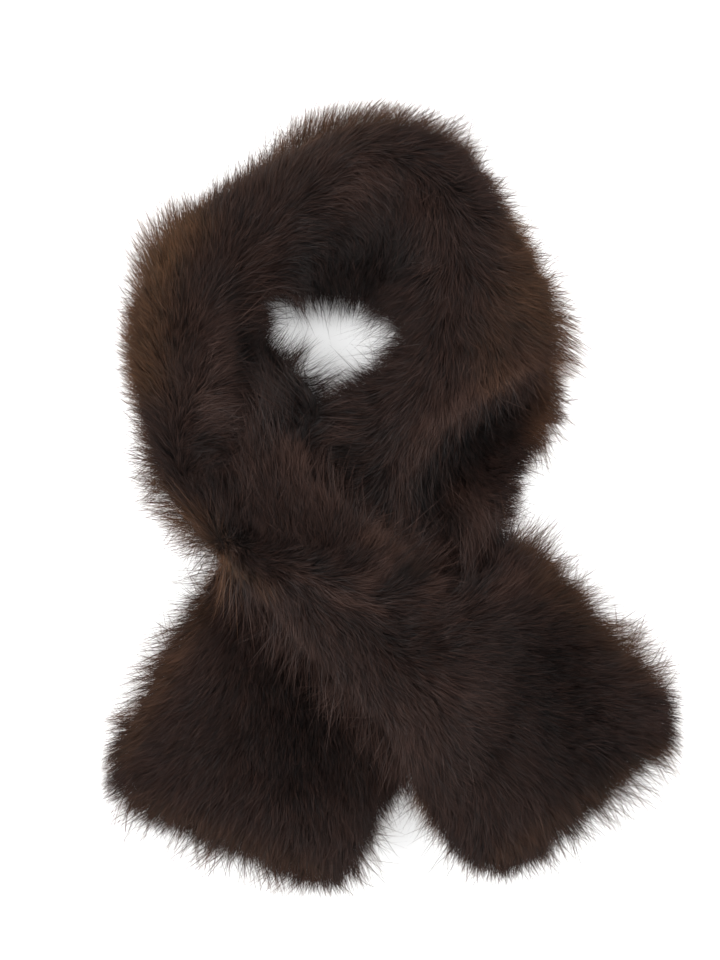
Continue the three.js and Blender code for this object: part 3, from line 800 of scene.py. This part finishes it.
def kept_inside(roots, middles, tips):
    """Middles and tips with the strands shortened to the box that the hairs may fill."""
    lowest, highest = np.array(cad_box) / MM + np.outer([-1, 1], HAIRS_BEYOND)
    inset = RAGGED * rng.random((len(roots), 1))
    reach = tips - roots
    room = np.where(reach > 0, highest - inset - roots, lowest + inset - roots)
    share = np.clip(room / np.where(reach == 0, 1, reach), LEAST_KEPT, 1)
    share[:, 2] = np.where(reach[:, 2] > 0, share[:, 2], 1)
    share = share.min(axis=1, keepdims=True)
    bends = [roots + share * (bend - roots) for bend in (middles, tips)]
    for bend in bends:
        bend[:, 2] = np.maximum(bend[:, 2], FLOOR_CLEARANCE + inset[:, 0] / RAGGED)
        np.minimum(bend, highest, out=bend)
    return bends


def strand_widths(normals, guard):
    uneven = (1 + WIDTH_SPREAD * rng.normal(size=len(normals))).clip(*WIDTH_LIMITS)
    return WIDTH * uneven * (1 + GUARD_WIDER * guard * rim_share(normals))


def strand_tones_and_shading(limb, roots, seen, guard):
    """How light each strand is: its own tone, which differs at random, lighter by a painted sheen where the
    pile lies flat and darker by painted shade where it stands up or shadow falls.
    """
    tone_and_shading = TONE_AND_PAINTED_LIGHT["mean"] + TONE_AND_PAINTED_LIGHT["spread"] * rng.normal(size=len(roots))
    tone_and_shading = tone_and_shading + TONE_AND_PAINTED_LIGHT["waves"] * waves(roots, TONE_WAVES["wavelength"], TONE_WAVES["seed"])
    tone_and_shading = tone_and_shading + TONE_AND_PAINTED_LIGHT["guard"] * guard
    # Painted light: sheen where the pile lies flat, shade in troughs, partings and slopes away from the
    # lamps
    sheen_and_shade = np.clip(area_amount(PILE_AND_PAINTED_LIGHT, limb, seen), -1, 1)
    tone_and_shading += np.where(sheen_and_shade > 0, TONE_AND_PAINTED_LIGHT["painted_sheen"], TONE_AND_PAINTED_LIGHT["painted_shade"]) * sheen_and_shade
    return np.clip(tone_and_shading, 0, 1)


def fur_piece(name, limb, roots, normals, middles, tips, guard, painted_glow):
    """Each strand as a flat blade of two triangles that meet at its middle. The colour attribute holds
    how far along the strand a point is, its tone with painted sheen and shade, and its painted glow."""
    count = len(roots)
    middles, tips = kept_inside(roots, middles, tips)
    blade = unit(np.cross(tips - roots, normals + BLADE_TWIST * rng.normal(size=(count, 3))))
    half = blade * strand_widths(normals, guard)[:, None] / 2
    points = np.stack([roots, middles + half, tips, middles - half], axis=1)
    first = 4 * np.arange(count)[:, None]
    loops = (first + np.array([0, 1, 3, 1, 2, 3])).ravel()
    piece = mesh_object(name, points.reshape(-1, 3), loops, np.full(2 * count, 3))
    along = np.array([0, 0.5, 1, 0.5])
    # Hairs on a rim with painted glow start lighter, further along their colours
    lighter = GLOW_START * (painted_glow * rim_share(normals))[:, None]
    strand = np.ones((count, 4, 4), np.float32)
    strand[:, :, 0] = along + lighter * (1 - along)
    strand[:, :, 1] = strand_tones_and_shading(limb, roots, seen_spots(middles, tips), guard)[:, None]
    strand[:, :, 2] = painted_glow[:, None]
    colours = piece.data.color_attributes.new("strand", "FLOAT_COLOR", "POINT")
    colours.data.foreach_set("color", strand.ravel())
    return piece


def new_material(name, roughness, specular=None):
    """A material with its nodes and its shader."""
    material = bpy.data.materials.new(name)
    material.use_nodes = True
    nodes = material.node_tree.nodes
    shader = nodes["Principled BSDF"]
    shader.inputs["Roughness"].default_value = roughness
    if specular is not None:
        shader.inputs["Specular IOR Level"].default_value = specular
    return material, nodes, shader


def link(material, pairs):
    for start, end in pairs:
        material.node_tree.links.new(start, end)


def colour_mix(nodes, kind="MIX"):
    mix = nodes.new("ShaderNodeMix")
    mix.data_type = "RGBA"
    mix.blend_type = kind
    return mix


def colour_ramp(nodes, first, last, middle=None, middle_at=0.5):
    ramp = nodes.new("ShaderNodeValToRGB")
    ramp.color_ramp.elements[0].color = (*first, 1)
    ramp.color_ramp.elements[1].color = (*last, 1)
    if middle:
        ramp.color_ramp.elements.new(middle_at).color = (*middle, 1)
    return ramp


def fur_material():
    """Dark roots, brown shafts and lighter tips, with painted golden glow in places and painted sheen and
    shade in the tone, each strand a little different.
    """
    material, nodes, shader = new_material("fur", roughness=0.48, specular=0.08)
    strand = nodes.new("ShaderNodeAttribute")
    strand.attribute_name = "strand"
    parts = nodes.new("ShaderNodeSeparateColor")
    brown, painted_glow = (
        colour_ramp(nodes, hair["root"], hair["tip"], hair["middle"], middle_at=0.45)
        for hair in (BROWN, GLOW_HAIR)
    )
    blend = colour_mix(nodes)
    tone_and_shading = colour_ramp(nodes, DARK_TONE_AND_SHADE, LIGHT_TONE_AND_SHEEN, TONE_MIDDLE, middle_at=0.6)
    shade = colour_mix(nodes, "MULTIPLY")
    shade.inputs["Factor"].default_value = 1
    link(material, [
        (strand.outputs["Color"], parts.inputs["Color"]),
        (parts.outputs["Red"], brown.inputs["Fac"]),
        (parts.outputs["Red"], painted_glow.inputs["Fac"]),
        (parts.outputs["Blue"], blend.inputs["Factor"]),
        (brown.outputs["Color"], blend.inputs["A"]),
        (painted_glow.outputs["Color"], blend.inputs["B"]),
        (parts.outputs["Green"], tone_and_shading.inputs["Fac"]),
        (blend.outputs["Result"], shade.inputs["A"]),
        (tone_and_shading.outputs["Color"], shade.inputs["B"]),
        (shade.outputs["Result"], shader.inputs["Base Color"]),
    ])
    return material


def backing_material():
    """Dark knitted backing that shows only where the fur parts."""
    material, nodes, shader = new_material("backing", roughness=0.9, specular=0.02)
    place = nodes.new("ShaderNodeTexCoord")
    knit = nodes.new("ShaderNodeTexNoise")
    knit.inputs["Scale"].default_value = 900
    ramp = colour_ramp(nodes, BACKING_DARK, BACKING_LIGHT)
    link(material, [
        (place.outputs["Object"], knit.inputs["Vector"]),
        (knit.outputs["Fac"], ramp.inputs["Fac"]),
        (ramp.outputs["Color"], shader.inputs["Base Color"]),
    ])
    return material


def backing_piece(name, skins, stretch):
    """A thin shell of backing for one stretch, sewn together where two limbs' halves meet."""
    meshes = []
    for skin in skins:
        quads = skin["quads"][skin["owner"] == stretch]
        used, renumbered = np.unique(quads, return_inverse=True)
        if len(used):
            meshes.append((skin["points"][used], renumbered.reshape(-1, 4)))
    points, quads = joined(meshes)
    piece = mesh_object(name, points, quads.ravel(), np.full(len(quads), 4))
    weld = piece.modifiers.new("sewn", "WELD")
    weld.merge_threshold = SEWN_WITHIN * MM
    thick = piece.modifiers.new("cloth", "SOLIDIFY")
    thick.thickness = BACKING_THICK * MM
    area = sum(face.area for face in piece.data.polygons)
    return piece, area


def fur_densities(skins):
    """Share of the full pile on each face: less underneath, and least where a limb covers it."""
    others = {"left": "right", "right": "left"}
    densities = {}
    for limb, skin in skins.items():
        density = between(1, UNDER_DENSITY, smooth_step(-face_normals(skin)[:, 2], *THIN_FACING))
        densities[limb] = np.where(hidden_faces(skin, skins[others[limb]]), HIDDEN_DENSITY, density)
    return densities


def full_pile_area(skins, densities):
    """Square millimetres of backing, counting the thinner pile as its share of the full one."""
    total = 0
    for limb, skin in skins.items():
        points, quads = skin["points"], skin["quads"]
        areas = triangle_areas(points, quads[:, :3]) + triangle_areas(points, quads[:, [0, 2, 3]])
        total += float(areas @ densities[limb])
    return total


def limb_fur(limb, skins, density, strands_per_mm2):
    """The limb's strands as pieces, by stretch, each small enough to be stored."""
    roots, normals, owner = limb_roots(skins[limb], density, strands_per_mm2)
    rim = rim_share(normals)
    chosen = rng.random(len(roots)) < between(GUARD_SHARE, RIM_GUARD_SHARE, rim)
    guard = np.where(chosen, rng.random(len(roots)) ** GUARD_POWER, 0)
    middles, tips = strand_curves(limb, roots, normals, guard)
    middles, tips = clumped(roots, middles, tips, (1 - GUARD_LOOSE * guard) * (1 - RIM_LOOSE * rim))
    outside = on_outline(roots, normals, skins.values())
    painted_glow = glow_share(limb, roots, normals, seen_spots(middles, tips), outside)
    pieces = {}
    for stretch in [*LIMBS[limb], NECK]:
        strands = np.flatnonzero(owner == stretch)
        strands = strands[np.argsort(roots[strands, 1])]
        parts = np.array_split(strands, math.ceil(len(strands) / STRANDS_A_PIECE))
        for number, part in enumerate(parts, 1):
            name = f"{stretch}_fur_{limb}_{number}"
            values = (rows[part] for rows in (roots, normals, middles, tips, guard, painted_glow))
            pieces.setdefault(stretch, []).append(fur_piece(name, limb, *values))
    return pieces


def add_fur(skins):
    """The fur of both limbs, as pieces by stretch."""
    densities = fur_densities(skins)
    strands_per_mm2 = STRANDS / full_pile_area(skins, densities)
    furs = {}
    for limb in LIMBS:
        for stretch, pieces in limb_fur(limb, skins, densities[limb], strands_per_mm2).items():
            furs.setdefault(stretch, []).extend(pieces)
    look = fur_material()
    for piece in sum(furs.values(), []):
        piece.data.materials.append(look)
        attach(piece, "root")
    return furs


def add_backings(skins, furs):
    """The backing of each stretch, which stands for both of its solids and carries its fur."""
    look = backing_material()
    for stretch in [NECK, *LIMBS["left"], *LIMBS["right"]]:
        cloth, area = backing_piece(f"{stretch}_backing", skins.values(), stretch)
        cloth.data.materials.append(look)
        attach(cloth, "root")
        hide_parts(f"{stretch}_face", f"{stretch}_back")


def add_wrap():
    skins = {limb: limb_skin(limb) for limb in LIMBS}
    add_backings(skins, add_fur(skins))


def add_camera():
    camera = bpy.data.objects.new("camera", bpy.data.cameras.new("camera"))
    camera.data.lens = 96
    camera.data.clip_end = 20
    camera.location = (-0.0205, 0.0118, 1.618)
    bpy.context.scene.collection.objects.link(camera)
    bpy.context.scene.camera = camera


def add_light(name, energy, size, place):
    data = bpy.data.lights.new(name, "AREA")
    data.shape = "RECTANGLE"
    data.size, data.size_y = size
    data.energy = energy
    lamp = bpy.data.objects.new(name, data)
    lamp.location = place
    lamp.rotation_euler = (Vector(LIGHTS_AIM) - Vector(place)).to_track_quat("-Z", "Y").to_euler()
    bpy.context.scene.collection.objects.link(lamp)


def add_studio():
    for row in LIGHTS:
        add_light(**row)
    world = bpy.data.worlds.new("studio")
    world.use_nodes = True
    world.node_tree.nodes["Background"].inputs["Color"].default_value = (1, 1, 1, 1)
    world.node_tree.nodes["Background"].inputs["Strength"].default_value = 0.75
    bpy.context.scene.world = world
    bpy.context.scene.view_settings.view_transform = "Standard"


def add_floor():
    material, _, shader = new_material("table", roughness=0.8)
    shader.inputs["Base Color"].default_value = (*TABLE_GREY, 1)
    bpy.ops.mesh.primitive_plane_add(size=8, location=(0, 0, 0))
    floor = bpy.context.object
    floor.name = "table"
    floor.data.materials.append(material)


add_camera()
add_studio()
add_floor()
add_wrap()
